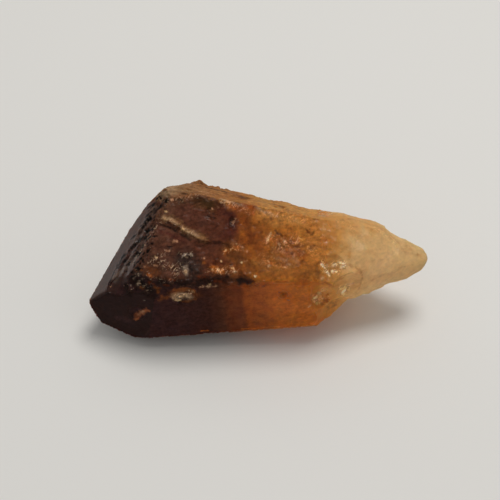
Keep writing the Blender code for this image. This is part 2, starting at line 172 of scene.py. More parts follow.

# Stains, veils, pits and scratches, and painted light (glints, highlights, amber light and a grey
# sheen), laid over each other in this order. Each set has a softness, a depth that its marks are sunk to,
# and the marks: paint, strength, width, and the places that the mark runs through, three numbers for each
MARKS = (
    (0.4, 0.1, ("soot", 0.8, 0.25, -29.2, -3.5, 15.7, -30, -4, 14.7)),
    (0.4, 0.15, ("soot", 0.95, 0.35, 5, -12.1, 14.5)),
    (1, 0, ("honey", 0.6, 4.91, 0.4, 0, 26, 5.4, -0.9, 25.2, 10.4, -1.8, 24.4),
     ("toffee", 0.6, 4.91, -2.8, -3.2, 24.4, -1.6, -4.6, 23.5),
     ("sienna", 0.75, 3.68, 0.4, -3.1, 24.3, 0.4, -6.6, 22.2, 0.8, -9.5, 20.6),
     ("toffee", 0.45, 4.91, 3.5, -7.8, 21.1, 6.3, -9.2, 20.2, 9.5, -8.8, 20.4),
     ("sienna", 0.45, 2.46, 0.8, -11.2, 19.5, 5.3, -11.2, 19.3, 9.9, -10.9, 19.2),
     ("umber", 0.6, 4.5, -19.5, -0.8, 26.5, -17.9, 0.5, 27.4),
     ("mauve", 0.6, 6.96, -13.5, -1.3, 26.1, -10.5, -2.4, 25.3, -7.2, -3.4, 24.5),
     ("mauve", 0.5, 6.14, -17.8, -7.4, 22.4, -13.5, -6.7, 22.5, -8.5, -6.5, 22.3),
     ("dun", 0.85, 3.07, -11.8, 1.5, 27.6, -8.4, 0.7, 27),
     ("olive", 0.5, 1.64, -10.8, 1.2, 27.4, -9.4, 0.7, 27),
     ("ochre", 0.6, 1.64, -7.2, 2.2, 27.2, -5.4, 1.2, 27.1, -3.6, 3, 25.9),
     ("apricot", 0.6, 3.07, 1.2, -0.2, 25.9, 3.2, -0.4, 25.6, 6, -1.2, 25, 9.2, -1.5, 24.6, 11.9, -2.3, 24),
     ("rust", 0.8, 2.25, -4, 0.9, 26.8, -2.4, 0.8, 26.6, -0.8, 0.5, 26.4),
     ("ember", 0.7, 1.64, -2.4, 0.8, 26.6, -0.8, 0.5, 26.4, -1.2, -0.6, 25.8),
     ("rust", 0.6, 2.46, -2.4, -1.4, 25.4, -2, -3.9, 23.9, -1.2, -5.3, 23.1),
     ("maroon", 0.8, 2.87, -7.2, 0, 26.5, -5.2, -1.1, 25.7, -4.8, -3.6, 24.2, -6, -5.1, 23.5),
     ("walnut", 0.7, 4.09, -5.6, -7.3, 21.7, -4, -8.3, 21.1),
     ("walnut", 0.3, 3.68, -5.2, -6.1, 22.8, -1.6, -9.4, 20.5),
     ("russet", 0.35, 1.84, 5, 2.1, 24.5, 7.6, 0.5, 24.9),
     ("bark", 0.3, 1.64, -7.1, -12.9, 16.4, -4, -12.7, 16.6),
     ("ochre", 0.45, 5.32, 2.7, -9, 20.7, 6.3, -9.6, 20.1, 0.8, -10.2, 20.2),
     ("russet", 0.45, 5.32, 3.2, -5.1, 22.9, 5.9, -4.9, 22.7, 7.9, -5.6, 22.3),
     ("russet", 0.6, 2.05, 6.3, -6.9, 21.4, 9.1, -7.4, 21.2),
     ("honey", 0.5, 4.5, 11.5, -5.3, 22.3, 13.5, -6.5, 21.5, 12.3, -8.3, 20.5),
     ("orange", 0.35, 3.28, 10.7, -4.1, 23, 13.5, -4.4, 22.7),
     ("brass", 0.7, 2.46, 15.1, -4.2, 22.6, 15.5, -6.3, 21.3, 14.7, -7.9, 19.5),
     ("slate", 0.8, 5.53, -14.6, -9.1, 20.8, -13, -10.1, 20),
     ("bark", 0.75, 3.07, -19.4, -12.2, 18.3, -15.4, -12.8, 18.3, -11.5, -12.2, 18.6, -7.9, -11.9, 18.9,
     -3.6, -11.8, 19), ("bark", 0.8, 3.89, -24.5, -10.4, 16.7, -22.6, -11.8, 16.7, -21.2, -12.7, 15.9),
     ("bronze", 0.6, 2.46, -21.9, -10.2, 19.6, -20.3, -10.7, 19.5),
     ("tawny", 0.45, 0.82, -17.1, 1.8, 28.1, -14.8, 2.1, 28.1, -12.4, 2.9, 27.9),
     ("dun", 0.55, 1.43, -16.3, 0.8, 27.5, -14, 1.2, 27.6, -11.6, 1.5, 27.6),
     ("dun", 0.4, 1.02, -14.4, 2.6, 28.4, -12.1, 4.8, 26.7),
     ("fawn", 0.3, 0.61, -12.5, 5.4, 26.4, -10.5, 6, 25.7, -8.5, 4.8, 25.9),
     ("fawn", 0.5, 0.82, -7.2, 2.2, 27.2, -5.4, 1.5, 27.2, -3, 0.9, 26.8),
     ("umber", 0.6, 1.02, -12.4, 2.3, 28.1, -10.4, 2.6, 27.7, -8.4, 1.8, 27.6),
     ("bark", 0.6, 1.23, -11.5, 10.6, 23, -10.4, 9.9, 23.2),
     ("bark", 0.7, 1.23, -9.6, 9.7, 23.2, -8.2, 9.4, 23, -6.5, 8.8, 23),
     ("umber", 0.7, 1.23, -5.7, 8.5, 23, -3.6, 7.8, 22.9, -1.6, 6.3, 23.5),
     ("umber", 0.6, 1.02, 0, 5.3, 23.7, 2.9, 4.9, 23.4, 5.3, 4.5, 23),
     ("fawn", 0.45, 0.82, 0, 0.5, 26.3, 1.6, -0.3, 25.8, 2.8, -0.6, 25.5),
     ("straw", 0.65, 1.84, -18.9, -2, 26, -17.3, -2.2, 25.9, -15.7, -3, 25.3, -14.3, -4, 24.6,
     -12.6, -4.7, 24.1, -10.7, -5.5, 23.6),
     ("fawn", 0.6, 0.82, -18.9, -1.9, 26.1, -17.3, -2.2, 25.8, -16.1, -2.8, 25.4),
     ("fawn", 0.6, 1.02, -14.9, -3.8, 24.8, -13.5, -4.4, 24.3, -12.5, -4.7, 24.1),
     ("cream and glint", 0.6, 0.61, -14.9, -3.9, 24.7, -13.9, -4.3, 24.4),
     ("lit amber", 0.45, 1.43, -6.2, -7.1, 21.8, -5.9, -7.1, 21.8),
     ("lit amber", 0.45, 1.02, -4.4, -6.7, 22.5, -4.1, -6.6, 22.5),
     ("lit amber", 0.45, 1.64, 2, -9.1, 20.7, 2.3, -9.1, 20.7),
     ("lit amber", 0.45, 1.02, 5.1, -9.6, 20.2, 5.4, -9.6, 20.1),
     ("lit amber", 0.45, 1.02, -0.6, -11.3, 19.6, -0.3, -11.3, 19.6),
     ("lit amber", 0.45, 1.02, -10.7, -9.1, 20.8, -10.4, -9.2, 20.8),
     ("grey sheen", 0.7, 2.46, -24.4, -3.4, 21.2, -22, -0.3, 24.1, -20.8, 0.8, 26),
     ("grey sheen", 0.45, 1.23, -24.1, -5.7, 20.4, -22.5, -3.8, 22.2, -21.1, -2.2, 24),
     ("tawny", 0.85, 1.13, -24.6, -12.2, 8.2, -23.9, -12.2, 8.9, -22.9, -12.8, 10.4, -22.2, -13, 11),
     ("plum", 0.5, 1.84, -28.5, -11.1, 6.5, -26.4, -11.8, 6.7),
     ("russet", 0.7, 0.61, -21.9, -10.9, 18.9, -21.1, -11.4, 18.9),
     ("bronze", 0.7, 0.61, -20.4, -12.3, 16.9, -19.4, -12.6, 16.7),
     ("bronze", 0.55, 2.46, -17.1, -13, 15.7, -15.1, -12.6, 15.5, -12.3, -13, 15.4),
     ("fawn", 0.8, 1.84, -16.4, -12.9, 14.9, -14.9, -12.6, 14.8, -13.7, -12.6, 14.5),
     ("russet", 0.6, 0.82, -16.6, -12.8, 16.4, -14.7, -12.6, 16.7, -12.5, -13, 16.6),
     ("bronze", 0.6, 1.02, -19.5, -13.3, 14.2, -17.9, -13.2, 14.8),
     ("bark", 0.6, 0.82, 0.8, -12.6, 17.5, 2, -12.5, 17.9),
     ("olive", 0.3, 3.68, 9.5, -10.6, 19.4, 12.2, -10.7, 18.5, 15.1, -10.7, 17.3),
     ("honey", 0.45, 2.66, 14.4, -2.3, 23.5, 14.9, -5, 22.2),
     ("brass", 0.5, 2.66, 17.3, -5.2, 21.3, 18.1, -6.8, 20.1),
     ("brass", 0.55, 2.87, 14.3, -9.3, 18.1, 16.3, -9.9, 17),
     ("ochre", 0.6, 1.64, 11.8, -10.1, 19.5, 12.6, -11.6, 17.9),
     ("sienna", 0.5, 0.82, 14.9, -8.4, 18.9, 15.9, -8.7, 18.6),
     ("sienna", 0.55, 1.02, 13.4, -11.6, 17.3, 14.9, -10.7, 15.3),
     ("cedar", 0.35, 0.45, 23, -7.6, 13.8, 25.4, -6.8, 14.7, 27.9, -5.8, 15.1, 30.4, -4.6, 15.1),
     ("cedar", 0.3, 1.84, 29.2, -2.4, 17.4, 32.1, -2.4, 16.2),
     ("brass", 0.3, 2.46, 18.8, -1.9, 22, 20.8, -3.1, 20.9, 23.3, -3.7, 19.8),
     ("cedar", 0.5, 0.61, 24.1, 0.1, 20.6, 24.7, 0.1, 20.3),
     ("milk", 0.3, 2.87, 22.9, -3.9, 20, 27, -3.8, 17.7)),
    (0.5, 0.08, ("bark", 0.7, 0.27, -10, -1.1, 25.8, -9.2, -1.5, 25.6, -8.4, -1.6, 25.7),
     ("rust", 0.8, 0.31, 9.6, -3, 23.8, 10.1, -3.5, 23.4), ("bark", 0.8, 0.31, 0.2, -2, 24.9)),
    (0.55, 0.08, ("soot", 0.95, 0.77, -20.6, 0.3, 25.7, -19.3, 0.3, 27.1),
     ("soot", 0.95, 0.87, -19.4, 0.7, 27, -18.2, 1.2, 27.8),
     ("soot", 0.95, 0.61, -27.5, -4.7, 17.6, -26.4, -4.8, 18.8)),
    (0.4, 0.05, ("bark", 0.7, 0.2, 3.5, -12.5, 15.4, 4.3, -12.5, 15.5),
     ("bark", 0.7, 0.2, 5.5, -12.4, 13.5, 6.4, -12.4, 13), ("bark", 0.7, 0.2, -0.2, -12.6, 17.6)),
    (0.4, 0, ("lit amber", 0.9, 0.23, 2.9, -12.5, 18.5, 5.9, -12.3, 18.6),
     ("lit amber", 0.6, 0.2, -11.6, -13, 4.7, -8.9, -12.9, 4.9),
     ("lit amber", 0.7, 0.23, -3.6, -12.7, 4.9, 2.1, -12.5, 5.3, 10.4, -12.2, 5.3)),
    (0.6, 0.08, ("bark", 0.6, 0.29, 4.3, -4, 23.5, 4.9, -4.2, 23.3),
     ("bark", 0.7, 0.37, 10.6, -3.8, 23.2, 11.1, -3.4, 23.4)),
    (0.5, 0.06, ("rust", 0.8, 0.29, 10.2, -6.7, 21.6, 11.2, -5.6, 22.1),
     ("bark", 0.7, 0.27, 16.6, 0.1, 23.6, 17.1, 0.5, 23.4)),
    # A dark line sunk along the ledge's foot on the upper front, partly a groove and partly painted shade
    # under the ledge
    (0.9, 0.04, ("bark", 0.75, 0.49, -20.1, -2.7, 25.2, -17.8, -3.2, 24.8, -16.3, -3.9, 24.3,
     -14.9, -4.7, 23.8, -13.5, -5.3, 23.3)),
    (0.7, 0.04, ("bark", 0.5, 0.33, -8.9, -5.8, 23.2, -7.5, -6, 23)),
    (0.5, 0.05, ("bark", 0.5, 0.23, -8.8, -0.8, 26, -7.6, -1.1, 25.9, -6.4, -0.6, 26.1)),
    (0.5, 0.12, ("bark", 0.8, 0.37, -5.8, -3, 24.7, -5.4, -2.1, 24.9, -5, -1.5, 25.2)),
    (0.6, 0.1, ("bark", 0.8, 0.41, 3.5, -3.4, 23.8, 3.8, -3.8, 23.5)),
    (0.6, 0.05, ("cedar", 0.5, 0.25, 16.7, 0.1, 23.5, 17.7, 0.2, 23.4, 18.3, 1.1, 22.8)),
    # Small pale dots and strokes: partly painted glints, partly pale crumbs and streaks
    (0.5, 0, ("cream and glint", 0.95, 0.53, -18.2, -0.8, 26.7), ("blush", 0.9, 0.33, -10.5, -5.7, 23.4),
     ("cream and glint", 0.9, 0.33, -20.3, -8.7, 21.7), ("blush", 0.9, 0.29, -4.5, -1.5, 25.4, -5, -2.1, 24.9),
     ("blush", 0.8, 0.29, -9.1, 0, 26.6), ("blush", 0.8, 0.29, -7.8, 0.3, 26.7),
     ("blush", 0.8, 0.33, -17.1, 1.3, 27.8, -16.9, 1.4, 27.9),
     ("fog", 0.7, 0.25, -14.8, -8.2, 21.7, -14.2, -7.9, 21.9, -13.7, -7.9, 21.8),
     ("fog", 0.7, 0.23, -13.4, -7.7, 21.9, -13, -8.1, 21.4), ("blush", 0.8, 0.27, -17.6, -10.1, 20.8),
     ("cream and glint", 0.95, 0.36, -6.4, -6.9, 21.9), ("cream and glint", 0.95, 0.36, -5.6, -7.2, 22.3),
     ("cream and glint", 0.95, 0.33, -4.4, -6.1, 22.8), ("blush", 0.95, 0.29, -10.6, -8.6, 21.2),
     ("white highlight", 0.95, 0.39, -0.6, -11.6, 19.4), ("cream and glint", 0.95, 0.33, 2.1, -8.9, 20.8),
     ("cream and glint", 0.95, 0.43, 2.2, -9.7, 20.4), ("cream and glint", 0.95, 0.29, 5.4, -9.8, 20.1),
     ("blush", 0.95, 0.36, 3.8, -0.8, 25.4), ("blush", 0.95, 0.36, 0.8, 2.6, 25.2),
     ("blush", 0.95, 0.39, 11.8, -1.3, 24.6), ("cream and glint", 0.95, 0.39, 4.2, -5.5, 22.4),
     ("cream and glint", 0.95, 0.29, 5.2, -5.1, 22.6), ("cream and glint", 0.95, 0.23, 4.4, -6.1, 22),
     ("blush", 0.95, 0.33, 7.8, -5, 22.7), ("blush", 0.95, 0.26, 6.5, -5, 22.7),
     ("blush", 0.95, 0.29, -2.2, -7.3, 22), ("blush", 0.95, 0.26, -3, -6.6, 22.4),
     ("cream and glint", 0.95, 0.23, -2, -9.7, 20.3), ("tan", 0.6, 0.27, -21.1, 0.4, 25.2),
     ("fog", 0.6, 0.2, -23, -12.6, 13.4, -22.6, -12.7, 13.4),
     ("cream and glint", 0.7, 0.33, -10.1, -13, 17.9, -9.5, -12.9, 18.1),
     ("blush", 0.5, 0.33, -11.5, -13, 17.6, -8.3, -12.9, 17.7),
     ("white highlight", 0.9, 0.37, 12.7, -8.7, 19.8, 13.3, -9, 19),
     ("white highlight", 0.95, 0.41, 13.8, -9.5, 18.2, 14.2, -9.9, 17.8),
     ("white highlight", 0.9, 0.35, 14.7, -9.1, 18.1, 15.6, -9.1, 18.2),
     ("white highlight", 0.9, 0.37, 15.2, -8.1, 19.2, 15.4, -8.3, 19.1),
     ("white highlight", 0.9, 0.37, 16.6, -8.6, 18.6, 16.9, -8.5, 18.9),
     ("white highlight", 0.9, 0.41, 11.4, -11.8, 12.8, 11.7, -11.5, 13.1),
     ("white highlight", 0.85, 0.37, 17.1, -9.6, 12.8, 17.4, -9.5, 12.9),
     ("white highlight", 0.8, 0.31, 16, -7.8, 19.4, 16.7, -8.1, 19.4, 17.6, -8.4, 19.1),
     ("cream and glint", 0.8, 0.31, 14.3, -8.6, 18.8, 15.5, -8.4, 19),
     ("cedar", 0.6, 0.2, 17.8, 0.9, 23.1, 18.4, 1.4, 22.7),
     ("cedar", 0.5, 0.2, 18.9, -0.6, 22.4, 19.9, -0.4, 22.1)),
    (0.8, 0, ("bark", 0.9, 1.64, -3.2, -12, 18.4, -1.4, -12.2, 18.2),
     ("cream and glint", 0.8, 0.53, -18.7, -2.2, 25.9, -18.1, -2.5, 25.7),
     ("fog", 0.8, 0.74, -14.3, -9.8, 20.3, -14.2, -11.2, 19.5),
     ("bronze", 0.7, 0.61, -19.8, -12.8, 16.1, -18.8, -13.3, 15.1), ("yellow highlight", 1, 0.49, 11.3, -12, 12.4),
     ("cedar", 0.5, 0.53, 17.5, -8.2, 19.3, 19.1, -8.3, 18.6, 20.5, -8.3, 17.5, 21, -8.4, 15.8,
     20.4, -8.6, 12.5), ("cedar", 0.5, 0.49, 32.5, -2.5, 16, 32.9, -2.3, 15.9),
     ("cedar", 0.3, 0.41, 21.9, 2, 21)),
    (0.7, 0, ("blush", 0.5, 0.45, -24.2, -12.2, 8.7, -23.1, -12.7, 10.3),
     ("tawny", 0.8, 0.53, -24.9, -12.3, 7.4, -24.2, -12.4, 8.1),
     ("plum", 0.5, 0.29, -23.1, -13.1, 2.9, -21.5, -13.4, 6.9),
     ("yellow highlight", 0.7, 0.35, 10.9, -12.1, 13.1, 11.3, -11.7, 13.2),
     ("yellow highlight", 0.7, 0.35, 12.1, -11.2, 14, 12.5, -11.1, 12.9),
     ("yellow highlight", 0.6, 0.35, 11.8, -11.8, 11.6, 12.6, -11.4, 11.5),
     ("cedar", 0.35, 0.41, 23.2, 1.9, 20.6, 26.5, 1.5, 19, 28, -0.4, 18.3, 30.9, -1.2, 17.1)),
    (0.8, 0.04, ("bark", 0.45, 0.33, -16.1, 1.6, 27.9, -15.3, 1.4, 27.8),
     ("bark", 0.4, 0.29, -18.1, 2.2, 28.4, -17.5, 2.2, 28.4),
     ("rust", 0.5, 0.33, 5.6, -4.5, 23.1, 6.5, -4.9, 22.7), ("rust", 0.5, 0.33, 7.1, -6, 21.9, 8.7, -6, 22),
     ("rust", 0.5, 0.29, 5.7, -6.9, 21.4, 6.7, -7.1, 21.2, 8.1, -6.9, 21.4)),
    (0.5, 0.1, ("bark", 0.8, 0.29, -19.6, -8.3, 21.9),
     ("bark", 0.8, 0.33, -17.7, -6.8, 22.7, -17.1, -6.7, 22.7),
     ("bark", 0.8, 0.37, -13.4, -10, 20.1, -13, -10.4, 19.8)),
    (0.6, 0, ("blush", 0.6, 0.41, -19.4, -5.5, 23.5),
     ("blush", 0.5, 0.31, -17.7, -7.4, 22.4, -18.2, -7.5, 22.3),
     ("blush", 0.5, 0.31, -20.6, -9.6, 20.5, -19.9, -9.9, 20.5), ("blush", 0.6, 0.33, -22.5, -9.6, 20.1),
     ("cream and glint", 0.6, 0.25, 1.9, -5.2, 23, 2.4, -4.2, 23.5, 2.8, -3.6, 23.8),
     ("fog", 0.4, 0.2, -23.9, -9.8, 18.5, -23.7, -10.1, 17.8),
     ("fog", 0.4, 0.2, -24.2, -9.9, 17.9, -23.4, -10.2, 18.5),
     ("fog", 0.4, 0.2, -23.9, -10.6, 16.9, -23.8, -11.1, 16.3),
     ("fog", 0.4, 0.2, -24.8, -10.2, 17, -24.5, -10.4, 16.7),
     ("fog", 0.4, 0.2, -23, -10.8, 17.7, -22.6, -10.9, 17.9),
     ("fog", 0.4, 0.2, -22.2, -12.4, 16.2, -21.8, -12.5, 16),
     ("fog", 0.4, 0.2, -25.6, -10.8, 16.1, -25.3, -11, 16),
     ("fog", 0.4, 0.2, -21.2, -11.9, 17.4, -20.9, -12.1, 17.3),
     ("cream and glint", 0.6, 0.49, -15.5, -12.7, 14.6, -14.3, -12.5, 15),
     ("tan", 0.8, 0.53, -13.6, -12.6, 16.2, -12.9, -12.9, 16.1),
     ("cream and glint", 0.6, 0.31, 13.3, -9.5, 18.6, 13.8, -8.5, 19.2),
     ("cream and glint", 0.7, 0.31, 12.6, -11.1, 18, 13.4, -10.3, 18),
     ("cream and glint", 0.6, 0.33, 17.9, -8.9, 14, 19.1, -8.6, 13.9),
     ("cream and glint", 0.8, 0.35, 10.2, -12.3, 11.1, 10.6, -12.2, 11.6),
     ("white highlight", 0.95, 0.49, 17, -9.8, 12.6, 17.4, -9.5, 12.7),
     ("cream and glint", 0.7, 0.33, 15.8, -10.6, 13.1, 16.5, -9.8, 13.2),
     ("milk", 0.6, 0.41, 25.5, 0.4, 19.8, 25.9, -0.1, 19.5)),
    (0.9, 0, ("bark", 0.8, 1.64, -26.3, -10.5, 15.1, -25.7, -11.6, 14.2),
     ("blush", 0.5, 0.37, -6.2, 1.7, 27.3, -4.8, 1.3, 27.1),
     ("tawny", 0.6, 0.49, -4.5, 7.3, 23.3, -2.8, 6.6, 23.1, -1.2, 6.4, 23.3),
     ("bronze", 0.7, 0.49, -23.4, -11.6, 16.2, -22.8, -12.1, 16.2),
     ("rust", 0.7, 0.45, -21.6, -11.8, 17.6, -20.8, -12, 17.4),
     ("rust", 0.7, 0.49, -18.8, -12.7, 17.9, -17.7, -13.1, 18.1),
     ("bronze", 0.7, 0.49, -24.2, -9.6, 18.7, -23.1, -10.1, 19.5),
     ("rust", 0.7, 0.49, -17.3, -12.5, 19.4, -16.4, -12.5, 19.1),
     ("rust", 0.7, 0.53, -11.8, -11.5, 19.2, -10.7, -11.7, 19.2),
     ("rust", 0.7, 0.49, -8.5, -12.3, 18.7, -7.3, -12.2, 18.3),
     ("bronze", 0.6, 0.61, -15.1, -13, 13.5, -13.6, -12.9, 13.4, -12.3, -13, 14.3),
     ("lit amber", 0.8, 1.02, 10.2, -12.3, 5.7, 12.2, -12.1, 6.3, 13.5, -10.3, 5.6),
     ("cedar", 0.6, 0.61, 14.9, -10.9, 17.2, 16.8, -9.5, 16.3, 18.3, -9.3, 17.8)),
    (1, 0, ("bronze", 0.8, 1.84, -9.1, -10.4, 20.1, -6.3, -9.9, 20.2, -4.4, -10.4, 19.8),
     ("russet", 0.6, 1.23, -5.6, 0.5, 26.7, -3.6, 0.2, 26.4, -1.8, 0.1, 26.2),
     ("maroon", 0.6, 1.23, -19.4, -4.1, 24.4, -17.1, -4.7, 23.9, -14.7, -5.6, 23.2),
     ("lit amber", 0.45, 1.43, -8.7, -10.2, 20.2, -8.4, -10.2, 20.2),
     ("lit amber", 0.45, 1.23, -7.3, -10.7, 19.8, -7, -10.7, 19.8),
     ("lit amber", 0.45, 1.43, -5, -10.4, 19.8, -4.7, -10.4, 19.8),
     ("lit amber", 0.45, 1.02, -3, -9.9, 20.4, -2.7, -9.8, 20.3),
     ("grey sheen", 0.8, 2.05, -28.7, -8.5, 15.3, -27.4, -7.8, 16.6, -26, -7, 17.8, -24.7, -6.5, 19.2),
     ("bronze", 0.7, 0.61, -5.3, -11.5, 19.2, -4, -11.6, 19.1),
     ("bronze", 0.8, 1.43, -15.9, -12.7, 16.2, -13.5, -12.7, 16.5), ("yellow highlight", 1, 0.61, 11.9, -11.4, 13),
     ("blush", 0.7, 0.61, 18.1, -8.8, 13.6, 19.1, -8.6, 13.8),
     ("olive", 0.4, 0.61, 12.9, -11.5, 10.9, 14.7, -9.1, 7.1, 16.2, -8.6, 7.7),
     ("rust", 0.5, 1.64, 13.7, -11, 11.8, 15.5, -8.9, 8, 16.3, -8.8, 9.4),
     ("cedar", 0.35, 0.53, 17.5, 1.1, 23.2, 20.7, 2.1, 21.4, 23.1, 1.7, 20.7, 25.4, 1.4, 19.7,
     27, -0.5, 18.8, 29, -1.2, 17.7, 31.1, -1.6, 17),
     ("milk", 0.35, 2.05, 20.7, -7.7, 18.2, 24.1, -6.2, 17.2, 27, -5.1, 16.6)),
    (0.35, 0.08, ("soot", 0.95, 0.46, -25.7, -1.9, 20, -24.6, -2, 21.3),
     ("soot", 0.95, 0.51, -22.6, -0.6, 23.7, -21.6, 0, 24.4),
     ("soot", 0.95, 0.46, -21.4, -1.2, 24.5, -20.6, -1.1, 25.4),
     ("soot", 0.95, 0.56, -24.9, -4.1, 20.1, -24, -4, 21.1),
     ("soot", 0.95, 0.41, -25.8, -4.3, 19.6, -25, -4.1, 20.2),
     ("soot", 0.95, 0.56, -22.8, -3.8, 21.9, -21.8, -3.7, 23),
     ("soot", 0.95, 0.51, -24, -2.4, 21.8, -23.3, -1.8, 22.2),
     ("soot", 0.95, 0.46, -26.1, -4.6, 19.2, -25.4, -4.3, 19.7),
     ("soot", 0.95, 0.46, -27.8, -5.4, 17, -27.1, -5, 17.9),
     ("soot", 0.95, 0.46, -26.2, -7.1, 17.8, -25.6, -6.7, 18.3),
     ("soot", 0.95, 0.41, -24.8, -6.2, 19.5, -23.9, -5.9, 20.2),
     ("soot", 0.95, 0.51, -23.3, -1.4, 22.8, -22.5, -1.2, 23.7),
     ("soot", 0.95, 0.46, -21.8, -2.4, 23.3, -21, -2.2, 24.2),
     ("soot", 0.95, 0.36, -24.2, -3.4, 20.9, -23.6, -3.4, 21.6),
     ("soot", 0.95, 0.41, -21, -0.1, 25.1, -20.3, 0, 25.9),
     ("soot", 0.95, 0.36, -22.3, -2.3, 22.7, -21.8, -2.2, 23.3),
     ("soot", 0.95, 0.36, -26.9, -6.1, 17.7, -26.3, -5.8, 18.1),
     ("soot", 0.95, 0.36, -28.2, -6.6, 16.4, -27.8, -6.3, 16.9)),
    # Small bright dots, most of them painted glints
    (0.5, 0, ("cream and glint", 0.6, 0.41, -14.3, -10.8, 19.8), ("cream and glint", 0.95, 0.29, -7.3, -9, 20.8),
     ("cream and glint", 0.95, 0.33, -9, -10.5, 20), ("cream and glint", 0.95, 0.39, -7.9, -10.5, 20),
     ("cream and glint", 0.95, 0.23, -5, -10.1, 20), ("white highlight", 0.95, 0.36, -4.6, -10.6, 19.7),
     ("cream and glint", 0.95, 0.26, -3.2, -9.2, 20.8), ("blush", 0.95, 0.23, -9.5, -11.5, 19.5),
     ("blush", 0.95, 0.21, -5.9, -11.2, 19.5), ("blush", 0.7, 0.25, -29.6, -9.2, 13.8),
     ("cream and glint", 0.8, 0.33, -16.3, -13, 13.9, -15.5, -12.9, 13.7)),
    (0.6, 0, ("blush", 0.9, 0.49, -16.7, -5.8, 23.2, -16.2, -5.7, 23.2),
     ("blush", 0.7, 0.37, 24.9, 1.1, 20, 25.3, 0.9, 19.9)),
    (1, 0, ("mauve", 0.3, 0.82, -26.6, -3, 18.8, -24.9, -3, 20.8, -23.2, -1.9, 22.3, -21.2, -0.8, 24.8,
     -20, 1, 26.5),
     ("mauve", 0.4, 1.23, -24.9, -7.3, 18.9, -22.7, -5.8, 21.7, -20.8, -4.5, 24, -19.3, -1.9, 26.1)),
    (0.4, 0.12, ("soot", 0.9, 0.23, -28.2, -6, 16.4, -28.8, -6.5, 15.7, -29.5, -7.6, 14.8,
     -30.2, -8.8, 13.8)),
    (0.4, 0.08, ("soot", 0.8, 0.25, -28.6, -5.7, 16.1, -27.5, -6, 17.3, -26.2, -5.7, 18.4)),
)

# Painted glints, fine bright needles of painted highlight over the breaks with darker colour between
# them: strength, width, and the places that they run through, as above
PAINTED_GLINTS = (
    (0.75, 1.84, -19.7, -9.3, 21.3, -18, -10.2, 20.8, -16.2, -10.9, 20.1),
    (0.5, 1.23, -15.6, -9.5, 20.6, -14.6, -10.7, 19.9),
    (0.5, 1.43, -15.2, -8.2, 21.8, -13.3, -7.9, 21.8),
    (0.55, 1.64, -21.3, -9.2, 20.8, -19.7, -8.9, 21.6, -18.2, -7.4, 22.4),
    (0.35, 1.64, -17.9, 1.1, 27.7, -15.5, 1.5, 27.9, -12.4, 2.2, 28, -10.4, 4.2, 26.7),
    (0.5, 1.64, -7.2, 1.5, 27.3, -4.4, 0.9, 26.8, -2, -0.1, 26.1),
    (0.35, 2.46, 0, 0.3, 26.2, 3.6, -0.6, 25.5, 7.6, -1, 25, 12, -1.4, 24.5),
    (0.6, 1.64, 1.6, -5.7, 22.7, 2.8, -4.2, 23.4, 4, -4.8, 22.9),
    (0.7, 2.87, 4, -6, 22.1, 5.9, -5.4, 22.4, 7.7, -5.1, 22.6),
    (0.45, 3.28, 7.5, -6.9, 21.3, 9.5, -6.1, 21.9, 11.1, -6.9, 21.4),
    (0.4, 2.87, 0.8, -8.4, 21.2, 3.1, -9.4, 20.5, 5.9, -9.2, 20.3),
    (0.55, 2.05, -9.1, -10.4, 20.1, -7.1, -10.7, 19.8, -4.8, -10.2, 19.9),
    (0.55, 1.64, -6.4, -7.1, 21.8, -3.6, -6.6, 22.5),
    (0.5, 1.43, -18.3, -2.2, 25.9, -15.9, -3.2, 25.2, -13.5, -4.3, 24.4),
    (0.4, 1.02, -5, -2.4, 24.7, -4.6, -1.6, 25.3),
    (0.45, 1.43, -24.5, -7.2, 19.4, -22.7, -5.6, 21.7, -20.6, -3.7, 24.3, -19.3, -1.9, 26.1),
    (0.6, 1.43, -24.2, -9.8, 18.3, -23.4, -11.1, 16.8, -21.8, -12.3, 16.4),
    (0.4, 1.23, -21.3, -11.5, 18.6, -18.5, -12.5, 18.6, -16.2, -12.4, 19.1),
    (0.45, 0.61, -11.5, -13, 17.7, -8.3, -12.9, 17.7),
    (0.9, 1.43, -16.1, -12.9, 14.7, -14.7, -12.6, 14.8, -13.5, -12.6, 15.6),
    (1.0, 1.43, 12.7, -8.5, 20.1, 13.5, -9, 18.9, 14.1, -9.7, 18, 15.9, -9.1, 18.2),
    (1.0, 1.23, 15.1, -8.1, 19.2, 17.1, -8.1, 19.4, 17.1, -8.6, 18.8),
    (0.9, 1.64, 11.2, -11.8, 13.2, 12.2, -11.2, 13.7, 12.8, -10.9, 14.4),
    (0.8, 1.23, 11.6, -11.8, 12, 12.6, -11.2, 12.3),
    (0.9, 1.43, 16.7, -9.6, 13.6, 18.3, -8.9, 13.1, 17.3, -9.8, 12.3),
    (0.3, 1.64, 23.9, 0.4, 20.7, 25.9, 0, 19.5, 27.6, -1.1, 18.4),
    (0.35, 1.43, 16, -0.5, 23.7, 17.6, -0.7, 23.1, 18.9, -1.1, 22.3),
)

# Bands of colour along the crystal: distance along X and colour
UPPER_ZONES = (
    (-34, (62, 43, 36)), (-23, (83, 54, 43)), (-17, (85, 53, 41)), (-12, (87, 50, 36)),
    (-5.5, (94, 47, 27)), (-2.6, (136, 74, 24)), (1.5, (166, 100, 32)), (6, (172, 106, 34)),
    (12, (182, 120, 44)), (15.5, (196, 144, 71)), (18.5, (208, 173, 120)), (34, (206, 170, 116)),
)
HIND_ZONES = (
    (-34, (128, 106, 88)), (-19, (146, 120, 94)), (-15, (124, 90, 60)), (-11, (126, 84, 50)),
    (-3, (146, 94, 48)), (0, (172, 118, 60)), (13, (182, 126, 62)), (16, (200, 148, 84)),
    (34, (210, 170, 110)),
)
